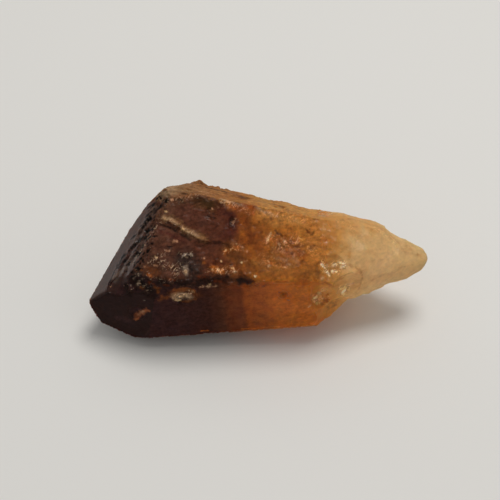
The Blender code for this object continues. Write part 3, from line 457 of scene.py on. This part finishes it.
# On the root, from X 15 on, the side's bands are lighter as painted light for light coming through the root
SIDE_ZONES = (
    (-34, (50, 31, 32)), (-18, (55, 33, 33)), (-9.6, (58, 33, 28)), (-7.0, (76, 41, 27)),
    (-5.6, (98, 48, 25)), (-3.0, (106, 52, 25)), (-2.2, (138, 68, 20)), (1.6, (146, 72, 20)),
    (3.4, (174, 90, 20)), (11, (180, 100, 20)), (15, (202, 138, 60)), (19, (219, 175, 113)),
    (25, (222, 184, 131)), (34, (206, 172, 118)),
)
UPPER_DRIFT, SIDE_DRIFT, HIND_DRIFT = 5, 0.6, 3  # how far the drift moves the bands
SIDE_LEAN, SIDE_MIDDLE = 0.10, 10  # the side's bands lean, and stay put at this height
TOP_RISE, TOP_DRIFT = (17.8, 19.0), 1.5  # height where the side's colours give way to the upper
HIND_COVER = 0.9

# Grain in the stone: width of the lumps, how many finer layers, and how rough they are
GRAINS = {
    "drift": (5.0, 3, 0.5),
    "cloud": (2.4, 3, 0.6),
    "fine": (0.5, 4, 0.7),
    "mottle": (1.1, 3, 0.65),
    "speckle": (0.45, 3, 0.6),
    "patches": (1.8, 2, 0.5),
    "bumps": (0.4, 4, 0.6),
}
MOTTLE_RISE = (0.36, 0.64)
# Strands in it: the way they run, in radians of plan, and their width
STRANDS = {"streaks": (0.2, 0.5), "needles": (0.9, 0.32), "crossing needles": (-0.7, 0.32)}

# What each value starts from, and what each kind of surface adds to it
AMOUNTS = {
    "fine": {"start": 1.1, "etched": 0.4, "smooth": -0.3, "root": -0.7},
    "streaks": {"start": 0.5, "etched": 0.6, "root": -0.1},
    "cloud": {"start": 0.4, "etched": 0.7, "root": -0.15, "smooth": -0.2},
    "mottle": {"start": 0.34, "root": -0.22, "smooth": -0.2},
    "roughness": {"start": 0.14, "etched": 0.36, "root": 0.26, "broken": 0.12, "frayed": 0.3},
    "bumps": {"start": 0.03, "etched": 0.9, "root": 0.8, "broken": 0.8, "frayed": 0.6},
    "coat": {"start": 0.0, "dark": 0.03, "broken": 0.2, "root": 0.1, "etched": 0.03},
}
TIP_PAINT, TIP_COVER = (57, 34, 29), 0.85  # the smoky glass of the glossy faces
DARK_PAINT, DARK_COVER = (37, 25, 23), 0.7  # and of the dark ones
# Painted glints on the breaks and frayed edges: their pale colour, and how fully they cover
BREAK_GLINT_PAINT, BREAK_GLINT_COVER = (190, 160, 135), 0.55
WARM_TINT, COOL_TINT = (1.05, 0.96, 0.84, 1.0), (0.97, 1.04, 1.04, 1.0)
TINT_RISE = (-0.25, 0.25)
BRIGHTNESS = 1.2
FRAYED_SHADE = 0.15
SPECKLE = 4  # how strongly thin marks break up into speckles
FLECK_RISE, PATCH_RISE = (0.16, 0.24), (0.5, 0.6)
# Painted glints: rise of the needles and of the darker colour between, dimming, spread, and lightening
NEEDLE_RISE, SHADOW_RISE = (0.61, 0.66), (0.48, 0.56)
GLINT_PAINT_DIMMING, GLINT_PAINT_SPREAD = 0.35, 0.05
GLINT_PAINT_GAIN, GLINT_PAINT_LIGHT = (1.5, 1.5, 1.5), (0.45, 0.33, 0.21)
TIP_COAT, TIP_COAT_LOST = 0.74, 0.2  # coat of the glossy faces, and what the crest lacks
CREST_RISE = (16, 28)
FRAYED_COAT_LOST = 0.75
LEAST_COAT = 0.02
CLEAR_RISE, CLEAR_SHARE, LEAST_CLEAR = (-10.0, 4.0), 0.26, 0.02  # along X
CLEAR_ROUGHER = 0.3  # how much rougher the clear share is on the root and the etched faces
QUARTZ_IOR = 1.544


def heading(turn, slope):
    """Unit vector from a turn in plan and a slope above the horizon, in degrees."""
    turn, slope = math.radians(turn), math.radians(slope)
    level = math.cos(slope)
    return Vector((level * math.cos(turn), level * math.sin(turn), math.sin(slope)))


def smooth_step(value, low, high):
    """0 at low and below, 1 at high and above, and a smooth rise between them."""
    share = np.clip((value - low) / (high - low), 0, 1)
    return share * share * (3 - 2 * share)


def linear(colour):
    """A screen colour as the share of light that it stands for."""
    level = np.array(colour) / 255
    return np.where(level <= 0.04045, level / 12.92, ((level + 0.055) / 1.055) ** 2.4)


def opaque(colour):
    """A screen colour as a material takes it."""
    return (*linear(colour), 1.0)


def put(name, data):
    """A new object in the scene that holds this mesh, lamp or camera."""
    thing = bpy.data.objects.new(name, data)
    bpy.context.scene.collection.objects.link(thing)
    return thing


def stand(thing, spot, target):
    """Stands a lamp or the camera at a spot and turns it to its target."""
    thing.location = spot * MM
    thing.rotation_euler = (target - spot).to_track_quat("-Z", "Y").to_euler()


# The crystal's mesh

def fine_copy(node):
    """The crystal's CAD mesh again, in even cells of about 0.3 mm."""
    form = bmesh.new()
    form.from_mesh(node.data)
    bmesh.ops.remove_doubles(form, verts=form.verts[:], dist=1e-8)
    mesh = bpy.data.meshes.new("coarse")
    form.to_mesh(mesh)
    form.free()
    coarse = put("coarse", mesh)
    cells = coarse.modifiers.new("cells", "REMESH")
    cells.mode = "SHARP"
    cells.octree_depth = 8
    cells.scale = 0.9
    cells.sharpness = 1.0
    depsgraph = bpy.context.evaluated_depsgraph_get()
    fine = bpy.data.meshes.new_from_object(coarse.evaluated_get(depsgraph))
    bpy.data.objects.remove(coarse)
    bpy.data.meshes.remove(mesh)
    fine.name = "crystal"
    return fine


def lumps_at(places, size, seed, layers):
    """Noise of about -0.5 to 0.5 at each place, with lumps of this size."""
    shift = Vector((seed, seed * 1.3, seed * 0.7))
    spots = [Vector(place) / size + shift for place in places]
    if layers == 1:
        return np.array([noise.noise(spot) for spot in spots])
    return np.array([noise.fractal(spot, 0.9, 2.0, layers) * 0.6 for spot in spots])


def facets_at(places, size, seed):
    """Depth, from 0 to DEEPEST_FACET, of a break made of small flat facets, each with its own tilt."""
    noise.seed_set(TILT_SEED)
    depths = np.zeros(len(places))
    shift = Vector((seed, seed, seed))
    for index, place in enumerate(places):
        where = Vector(place) / size + shift
        centre = noise.voronoi(where)[1][0]
        lean = noise.noise_vector(centre * 7.3) * 2.2
        depths[index] = 0.5 + noise.noise(centre * 3.1) * 0.7 + (where - centre).dot(lean)
    return np.clip(depths, 0, DEEPEST_FACET)


def near_to(places, chosen):
    """1 on the chosen points, falling to 0 away from them."""
    tree = kdtree.KDTree(int(chosen.sum()))
    for index, place in enumerate(places[chosen]):
        tree.insert(place, index)
    tree.balance()
    return 1 - smooth_step(np.array([tree.find(place)[2] for place in places]), *FRAY_RISE)


class Surface:
    """The points of the fine mesh. names is the flat face that each lies on, or "", rim how near the
    next face's plane is, and gaps how far below every plane it lies. The other kinds of surface run
    from 0 to 1."""

    def __init__(self, form):
        self.places = np.array([corner.co / MM - CENTRING for corner in form.verts])
        self.find_faces(np.array([corner.normal for corner in form.verts]))
        self.wobble = self.lumps("ragged edge")
        along = self.places[:, 0]
        self.root = smooth_step(along + self.lumps("start of the root") * ROOT_WANDER, *ROOT_RISE)
        self.broken = np.where(
            self.off_face & (along < BREAKS_END), 1 - self.root * BREAKS_ON_ROOT, 0.0)
        self.frayed = near_to(self.places, self.off_face & (along < FRAYS_END))
        edge = self.wobble * HIND_WANDER[0] + self.lumps("hind edge") * HIND_WANDER[1]
        self.hind = 1 - smooth_step(self.gaps["upper back"] + edge, *HIND_RISE)
        self.glossy = self.find_gloss()

    def find_faces(self, normals):
        self.names = np.full(len(self.places), "", dtype="U20")
        self.gaps = {}
        for name, (turn, slope, reach, *ledges) in FACES.items():
            outward = np.array(heading(turn, slope))
            gap = self.gaps[name] = reach - (self.places - np.array(HEART)) @ outward
            level = np.min([np.abs(gap - ledge) for ledge in (0, *ledges)], axis=0)
            self.names[(level < ON_FACE) & (normals @ outward > FACE_TURN)] = name
        self.rim = np.full(len(self.places), FAR)
        for name, gap in self.gaps.items():
            elsewhere = self.names != name
            self.rim[elsewhere] = np.minimum(self.rim[elsewhere], np.abs(gap[elsewhere]))
        self.off_face = self.names == ""

    def find_gloss(self):
        """The glassy faces of the tip. The long one is duller towards the upper front."""
        stepped = self.gaps["long tip"] < STEPPED_DEPTH
        glossy = (self.on(GLOSSY) | self.off_face & stepped).astype(float)
        inside = self.gaps["upper front"] + self.wobble * GLOSS_WANDER
        fade = DULLEST_GLOSS + (1 - DULLEST_GLOSS) * smooth_step(inside, *GLOSS_RISE)
        glossy[stepped] *= fade[stepped]
        return glossy

    def lumps(self, name):
        return lumps_at(self.places, *LUMPS[name])

    def on(self, faces):
        return np.isin(self.names, faces)


def cover_by(surface, strength, width, softness, run):
    """Which points a mark comes near to, and how fully it covers each of them."""
    run = list(np.array(run, float).reshape(-1, 3))
    reach = width / 2
    middle = sum(run) / len(run)
    spread = max(np.linalg.norm(place - middle) for place in run) + width + 1
    near = np.linalg.norm(surface.places - middle, axis=1) < spread
    spots = surface.places[near]
    distance = np.full(len(spots), FAR)
    for start, end in zip(run, run[1:] or run):
        way = end - start
        share = np.clip((spots - start) @ way / max(way @ way, 1e-9), 0, 1)
        nearest = start + share[:, None] * way
        distance = np.minimum(distance, np.linalg.norm(spots - nearest, axis=1))
    ragged = min(MOST_RAGGED, RAGGED + reach * RAGGED_BY_REACH)
    full = reach * (1 - softness) * FULL_REACH
    gone = reach * (1 + SOFT_REACH * softness) + EDGE_BLUR
    distance = distance + surface.wobble[near] * ragged * 2
    return near, strength * (1 - smooth_step(distance, full, gone))


def slanting_pits(surface):
    """1 inside the short slanting pits along the long tip's edge with the upper front, 0 elsewhere."""
    inside = surface.gaps["upper front"]
    band = smooth_step(inside, *PIT_BAND_START) * (1 - smooth_step(inside, *PIT_BAND_END))
    band *= np.abs(surface.gaps["long tip"]) < STEPPED_DEPTH
    near = band > 0
    places = surface.places[near]
    across = np.cross(np.array(heading(*FACES["long tip"][:2])), PIT_WAY)
    combed = np.stack([places @ PIT_WAY * PIT_SQUEEZE, places @ across, np.zeros(len(places))], axis=1)
    pits = np.zeros(len(band))
    lumps = lumps_at(combed, *LUMPS["slanting pits"])
    pits[near] = smooth_step(lumps + (band[near] - 1) * PIT_FADE, *PIT_RISE)
    return pits


def marked(surface):
    """Each point's marks, stains and painted light alike: strength, colour added, depth sunk, and painted
    glint."""
    count = len(surface.places)
    colours, strengths = np.zeros((count, 3)), np.zeros(count)
    sunk, painted_glint = np.zeros(count), np.zeros(count)
    for strength, width, *run in PAINTED_GLINTS:
        near, cover = cover_by(surface, strength, width, 1.0, run)
        painted_glint[near] = np.maximum(painted_glint[near], cover)
    covers = [(paint, depth, *cover_by(surface, strength, width, softness, run))
              for softness, depth, *marks in MARKS for paint, strength, width, *run in marks]
    everywhere = np.full(count, True)
    covers.append(("soot", PIT_DEPTH, everywhere, slanting_pits(surface) * PIT_STRENGTH))
    for paint, depth, near, cover in covers:
        colours[near] += (linear(PAINTS[paint]) - colours[near]) * cover[:, None]
        strengths[near] += (1 - strengths[near]) * cover
        sunk[near] = np.maximum(sunk[near], depth * cover)
    return strengths, colours, sunk, painted_glint


def worn_depths(surface):
    """How far each point is sunk below the CAD surface by wear."""
    places = surface.places
    depth = np.zeros(len(places))
    for faces, size, height, layers in HOLLOWS:
        chosen = surface.on(faces)
        depth[chosen] += height * (0.5 + lumps_at(places[chosen], size, HOLLOW_SEED, layers))
    shares = {"upper front": surface.on("upper front"), "root": surface.root, "broken": surface.broken}
    for kind, height, size, seed in FACETS:
        some = shares[kind] > 0
        depth[some] += shares[kind][some] * height * facets_at(places[some], size, seed)
    near = (1 - smooth_step(surface.rim, 0.0, RIM_WIDTH)) * ~surface.off_face
    worn = near > 0
    chips = (lumps_at(places[worn], *LUMPS["small chips"]) * SMALL_CHIPS
             + lumps_at(places[worn], *LUMPS["wide chips"]) * WIDE_CHIPS)
    height = np.where(surface.on(ETCHED)[worn], ETCHED_CHIP_DEPTH, CHIP_DEPTH)
    depth[worn] += near[worn] * height * np.clip(chips - CHIP_START, 0, 1)
    some = surface.frayed > 0
    crumbs = lumps_at(places[some] * CRUMB_SQUEEZE, *LUMPS["crumbs"]) * 2
    depth[some] += surface.frayed[some] * CRUMB_DEPTH * np.clip(crumbs, 0, 1)
    return depth


def smooth_breaks(form, surface):
    """Rounds off the steps of the cells along the broken edges, but not on the root."""
    loose = surface.off_face & (surface.root < 0.5)
    corners = [corner for corner, chosen in zip(form.verts, loose) if chosen]
    for _ in range(SMOOTHING_ROUNDS):
        bmesh.ops.smooth_vert(form, verts=corners, factor=0.5,
                              use_axis_x=True, use_axis_y=True, use_axis_z=True)
    form.normal_update()


def add_layer(mesh, name, values):
    """Keeps one number, or one colour, for each point of the mesh."""
    kind, field = ("FLOAT", "value") if values.ndim == 1 else ("FLOAT_VECTOR", "vector")
    layer = mesh.attributes.new(name, kind, "POINT")
    layer.data.foreach_set(field, values.astype(np.float32).ravel())


def make_crystal(node):
    """The visible crystal: the CAD shape with its fine wear, breaks and etching."""
    mesh = fine_copy(node)
    form = bmesh.new()
    form.from_mesh(mesh)
    form.normal_update()
    surface = Surface(form)
    smooth_breaks(form, surface)
    strengths, colours, sunk, painted_glint = marked(surface)
    for corner, depth in zip(form.verts, worn_depths(surface) + sunk):
        corner.co -= corner.normal * depth * MM
        corner.co.z = max(corner.co.z, 0.0)
    form.to_mesh(mesh)
    form.free()
    frayed = np.maximum(surface.frayed, np.clip(sunk / ROUGH_PIT, 0, 1))
    for name, values in (
            ("etched", surface.on(ETCHED)), ("glossy", surface.glossy), ("dark", surface.on(DARK)),
            ("root", surface.root), ("broken", surface.broken), ("frayed", frayed),
            ("hind", surface.hind), ("stain_and_light_share", strengths), ("painted_glint", painted_glint), ("stain_and_light_colour", colours)):
        add_layer(mesh, name, values)
    for polygon in mesh.polygons:
        polygon.use_smooth = True
    mesh.set_sharp_from_angle(angle=math.radians(CREASE_ANGLE))
    return put("crystal", mesh)


# Finishes

class Wire:
    """An output socket that can be used in sums like a number."""

    def __init__(self, finish, socket):
        self.finish, self.socket = finish, socket

    def sum(self, operation, *values):
        return self.finish.add("Math", {"operation": operation}, dict(enumerate(values)))

    __add__ = __radd__ = lambda self, other: self.sum("ADD", self, other)
    __mul__ = __rmul__ = lambda self, other: self.sum("MULTIPLY", self, other)
    __sub__ = lambda self, other: self.sum("SUBTRACT", self, other)
    __rsub__ = lambda self, other: self.sum("SUBTRACT", other, self)
    __truediv__ = lambda self, other: self.sum("DIVIDE", self, other)


class Finish:
    """A material and the nodes that make it."""

    def __init__(self, name):
        self.material = bpy.data.materials.new(name)
        self.material.use_nodes = True
        self.tree = self.material.node_tree
        self.tree.nodes.clear()

    def add(self, kind, settings=None, inputs=None, output=0):
        """One output of a new node of this kind, with its settings, values and links."""
        node = self.tree.nodes.new("ShaderNode" + kind)
        for name, value in (settings or {}).items():
            setattr(node, name, value)
        for name, value in (inputs or {}).items():
            if isinstance(value, Wire):
                self.tree.links.new(value.socket, node.inputs[name])
            else:
                node.inputs[name].default_value = value
        return Wire(self, node.outputs[output]) if len(node.outputs) else None

    def vectors(self, operation, *values):
        """A sum with places or colours."""
        return self.add("VectorMath", {"operation": operation}, dict(enumerate(values)))

    def scaled(self, colour, share):
        """A colour made lighter or darker."""
        return self.add("VectorMath", {"operation": "SCALE"}, {0: colour, "Scale": share})

    def part(self, where, letter):
        """One of the three numbers of a place."""
        return self.add("SeparateXYZ", None, {0: where}, letter)

    def rise(self, value, low, high):
        """0 below low, 1 above high, and a smooth rise between them."""
        return self.add("MapRange", {"interpolation_type": "SMOOTHSTEP"},
                        {"Value": value, "From Min": low, "From Max": high})

    def blend(self, factor, first, second):
        """One colour turning into another as factor goes from 0 to 1."""
        return self.add("Mix", {"data_type": "RGBA"}, {0: factor, 6: first, 7: second}, 2)

    def noise(self, where, size, detail, roughness):
        """Noise from 0 to 1 with lumps of about this size."""
        return self.add("TexNoise", None, {
            "Vector": where, "Scale": 1 / size, "Detail": detail, "Roughness": roughness})

    def grain(self, where, name):
        """One of the stone's grains, from 0 to 1."""
        return self.noise(where, *GRAINS[name])

    def strands(self, where, name):
        """Noise from 0 to 1, drawn out into strands."""
        turn, width = STRANDS[name]
        combed = self.add("Mapping", {"vector_type": "TEXTURE"}, {
            "Vector": where, "Rotation": (0.0, -0.4, turn), "Scale": (4.0, 1.0, 1.0)})
        return self.noise(combed, width, 2, 0.5)

    def layer(self, name, output="Fac"):
        """What the mesh keeps for each point under this name."""
        return self.add("Attribute", {"attribute_name": name}, None, output)

    def zones(self, along, table):
        """Bands of colour along the crystal."""
        low, high = table[0][0], table[-1][0]
        ramp = self.tree.nodes.new("ShaderNodeValToRGB")
        stops = ramp.color_ramp.elements
        while len(stops) < len(table):
            stops.new(1.0)
        for stop, (place, colour) in zip(stops, table):
            stop.position, stop.color = (place - low) / (high - low), opaque(colour)
        self.tree.links.new(((along - low) / (high - low)).socket, ramp.inputs["Fac"])
        return Wire(self, ramp.outputs["Color"])


def amount(name, kinds):
    """A value that changes with the kind of surface, from the table of amounts."""
    value = AMOUNTS[name]["start"]
    for kind, change in AMOUNTS[name].items():
        if kind != "start":
            value = kinds[kind] * change + value
    return value


def body_colour(finish, where, drift, kinds):
    """The stone's own colour: three rows of bands, and the smoky glass of the tip's faces."""
    along, height = finish.part(where, "X"), finish.part(where, "Z")
    upper = finish.zones(along + drift * UPPER_DRIFT, UPPER_ZONES)
    lean = (height - SIDE_MIDDLE) * SIDE_LEAN
    side = finish.zones(along + lean + drift * SIDE_DRIFT, SIDE_ZONES)
    hind = finish.zones(along + drift * HIND_DRIFT, HIND_ZONES)
    on_top = finish.rise(height + drift * TOP_DRIFT, *TOP_RISE)
    top = finish.blend(finish.layer("hind") * HIND_COVER, upper, hind)
    colour = finish.blend(on_top, side, top)
    colour = finish.blend(kinds["glossy"] * TIP_COVER, colour, opaque(TIP_PAINT))
    return finish.blend(kinds["dark"] * DARK_COVER, colour, opaque(DARK_PAINT))


def with_stains_and_light(finish, where, colour):
    """The colour with the marks, stains and painted light alike, laid over it, speckled where they are
    thin.
    """
    stain_and_light_share = finish.layer("stain_and_light_share")
    share = stain_and_light_share.sum("DIVIDE", 1.0, stain_and_light_share.sum("MAXIMUM", stain_and_light_share, 0.02))
    paint = finish.scaled(finish.layer("stain_and_light_colour", "Vector"), share)
    speckle = (finish.grain(where, "speckle") - 0.5) * SPECKLE
    cover = finish.rise(stain_and_light_share + speckle * stain_and_light_share * (1 - stain_and_light_share), 0.0, 1.0)
    return finish.blend(cover, colour, paint)


def with_painted_glints(finish, where, colour):
    """The colour with painted glints: fine bright needles of painted highlight, and darker stone between
    them.
    """
    needles = finish.strands(where, "needles")
    needles = needles.sum("MAXIMUM", needles, finish.strands(where, "crossing needles"))
    painted_glint = finish.layer("painted_glint")
    between = 1.0 - finish.rise(needles, *SHADOW_RISE)
    dimmed = finish.scaled(colour, 1.0 - painted_glint * between * GLINT_PAINT_DIMMING)
    lit = finish.vectors("MULTIPLY_ADD", dimmed, GLINT_PAINT_GAIN, GLINT_PAINT_LIGHT)
    bright = finish.rise(needles + painted_glint * GLINT_PAINT_SPREAD, *NEEDLE_RISE)
    return finish.blend(painted_glint * bright, dimmed, lit)


def citrine():
    """Quartz, cloudy in part: smoky and glossy at the tip, amber in the middle, milky at the root."""
    finish = Finish("citrine")
    here = finish.add("TexCoord", None, None, "Object")
    where = finish.vectors("MULTIPLY_ADD", here, (1 / MM,) * 3, -CENTRING)
    kinds = {name: finish.layer(name)
             for name in ("root", "broken", "etched", "glossy", "dark", "frayed")}
    kinds["smooth"] = kinds["glossy"] + kinds["dark"]
    root, broken, etched, frayed = (kinds[name] for name in ("root", "broken", "etched", "frayed"))
    drift, cloud, fine = (finish.grain(where, name) - 0.5 for name in ("drift", "cloud", "fine"))
    mottle = finish.rise(finish.grain(where, "mottle"), *MOTTLE_RISE) - 0.5
    streaks = finish.strands(where, "streaks") - 0.5

    colour = with_stains_and_light(finish, where, body_colour(finish, where, drift, kinds))
    patterns = {"fine": fine, "streaks": streaks, "cloud": cloud, "mottle": mottle}
    shade = 1.0 - frayed * FRAYED_SHADE
    for name, pattern in patterns.items():
        shade = shade + pattern * amount(name, kinds)
    coolness = finish.rise((cloud + drift * 0.5) * (1 - root * 0.7), *TINT_RISE)
    tinted = finish.vectors("MULTIPLY", colour, finish.blend(coolness, WARM_TINT, COOL_TINT))
    colour = finish.scaled(tinted, shade * BRIGHTNESS)
    # Painted glints: pale flecks in patches over the breaks and frayed edges
    flecks = finish.rise(streaks + fine * 0.6, *FLECK_RISE)
    patches = finish.rise(finish.grain(where, "patches"), *PATCH_RISE)
    glint = flecks * patches * finish.rise(broken * (1 - root) + frayed * 0.4, 0.0, 1.0)
    colour = finish.blend(glint * BREAK_GLINT_COVER, colour, opaque(BREAK_GLINT_PAINT))
    # Painted glints: bright needles of painted highlight where the mesh holds them
    colour = with_painted_glints(finish, where, colour)

    bump = finish.add("Bump", None, {
        "Strength": 0.4, "Distance": 0.10 * MM,
        "Height": finish.grain(where, "bumps") * amount("bumps", kinds)})
    roughness = amount("roughness", kinds) + fine * 0.2
    height = finish.part(where, "Z")
    tip_coat = kinds["glossy"] * (TIP_COAT - finish.rise(height, *CREST_RISE) * TIP_COAT_LOST)
    coat = (tip_coat + amount("coat", kinds)) * (1 - frayed * FRAYED_COAT_LOST) + LEAST_COAT
    cloudy = finish.add("BsdfPrincipled", None, {
        "Base Color": colour, "Roughness": roughness, "IOR": QUARTZ_IOR, "Normal": bump,
        "Specular IOR Level": 0.0, "Coat Weight": coat, "Coat Roughness": 0.06,
        "Coat IOR": QUARTZ_IOR, "Subsurface Weight": 0.35, "Subsurface Radius": (1.0, 0.5, 0.2),
        "Subsurface Scale": 3.0 * MM})
    clear = finish.add("BsdfPrincipled", None, {
        "Base Color": (1.0, 0.86, 0.62, 1.0), "Roughness": roughness + (root + etched) * CLEAR_ROUGHER,
        "IOR": QUARTZ_IOR, "Normal": bump, "Transmission Weight": 1.0})
    along = finish.part(where, "X")
    clearness = finish.rise(along, *CLEAR_RISE) * CLEAR_SHARE + LEAST_CLEAR
    skin = finish.add("MixShader", None, {0: clearness, 1: cloudy, 2: clear})
    depth = finish.add("VolumeAbsorption", None,
                       {"Color": (1.0, 0.46, 0.08, 1.0), "Density": 90.0})
    finish.add("OutputMaterial", None, {"Surface": skin, "Volume": depth})
    return finish.material


# Floor, light and camera

def make_floor():
    form = bmesh.new()
    bmesh.ops.create_grid(form, x_segments=1, y_segments=1, size=FLOOR_REACH * MM)
    mesh = bpy.data.meshes.new("floor")
    form.to_mesh(mesh)
    form.free()
    paper = Finish("pale floor")
    surface = paper.add("BsdfPrincipled", None, {
        "Base Color": (0.80, 0.795, 0.77, 1.0), "Roughness": 0.8, "Specular IOR Level": 0.1})
    paper.add("OutputMaterial", None, {"Surface": surface})
    mesh.materials.append(paper.material)
    put("floor", mesh)


def make_light():
    world = bpy.data.worlds.new("room")
    world.use_nodes = True
    background = world.node_tree.nodes["Background"]
    background.inputs["Color"].default_value = (1.0, 0.985, 0.97, 1.0)
    background.inputs["Strength"].default_value = 0.39
    bpy.context.scene.world = world
    for name, spot, target, width, power in LAMPS:
        lamp = bpy.data.lights.new(name, "AREA")
        lamp.color = LAMP_COLOUR
        lamp.shape = "DISK"
        lamp.size = width * MM
        lamp.energy = power
        stand(put(name, lamp), Vector(spot), Vector(target))


def make_camera():
    lens = bpy.data.cameras.new("camera")
    lens.lens, lens.sensor_width, lens.clip_start = LENS, SENSOR, 0.01
    camera = put("camera", lens)
    target = LOOK_AT + CENTRING
    stand(camera, target + heading(CAMERA_TURN, CAMERA_SLOPE) * CAMERA_DISTANCE, target)
    bpy.context.scene.camera = camera


make_camera()
make_floor()
make_light()
bpy.context.scene.view_settings.view_transform = "Standard"
crystal = make_crystal(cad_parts["citrine_point"])
crystal.data.materials.append(citrine())
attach(crystal, "root")
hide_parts("citrine_point")
